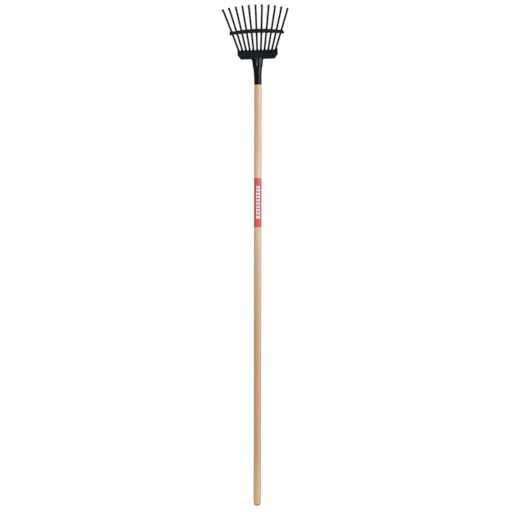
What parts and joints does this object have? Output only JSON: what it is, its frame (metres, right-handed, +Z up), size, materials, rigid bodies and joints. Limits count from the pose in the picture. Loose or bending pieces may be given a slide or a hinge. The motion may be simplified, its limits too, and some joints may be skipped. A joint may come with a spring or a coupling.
{
  "type": "leaf rake",
  "caption": "Narrow shrub leaf rake: a fan of hooked spring-steel tines with an arched spreader, a pressed socket head and a long wooden handle",
  "frame": {"origin": "centre of the flat end of the handle's butt", "axes": "+Z up the handle's axis towards the head; -Y the way the tine hooks point; +X to the right seen from the front"},
  "size_m": [0.2108, 0.0627, 1.5762],
  "materials": {
    "handle_wood": "clear lacquered hardwood",
    "label_vinyl": "printed red vinyl",
    "head_steel": "semi-gloss black enamel",
    "tine_steel": "black enamel on spring steel",
    "spreader_steel": "semi-gloss black enamel",
    "rivet_steel": "black enamel",
    "screw_steel": "zinc-plated"
  },
  "bodies": {
    "handle_and_plate": {"handle": "handle_wood", "label": "label_vinyl", "socket_plate": "head_steel", "clamp_plate": "head_steel", "head_rivets": "rivet_steel", "socket_screw": "screw_steel"},
    "tine_fan": {"tine_01": "tine_steel", "tine_02": "tine_steel", "tine_03": "tine_steel", "tine_04": "tine_steel", "tine_05": "tine_steel", "tine_06": "tine_steel", "tine_07": "tine_steel", "tine_08": "tine_steel", "tine_09": "tine_steel", "tine_10": "tine_steel", "tine_11": "tine_steel", "spreader_front": "spreader_steel", "spreader_rear": "spreader_steel", "spreader_rivets": "rivet_steel"}
  },
  "joints": [
    {"name": "tine_flex", "type": "hinge", "parent": "handle_and_plate", "child": "tine_fan", "pos_m": [-0.00378, 0, 1.46195], "axis": [-0.9993, 0, -0.0366], "range_deg": [-3, 8], "stiffness_Nm_per_rad": 110, "deforming": ["tine_01", "tine_02", "tine_03", "tine_04", "tine_05", "tine_06", "tine_07", "tine_08", "tine_09", "tine_10", "tine_11"]}
  ]
}
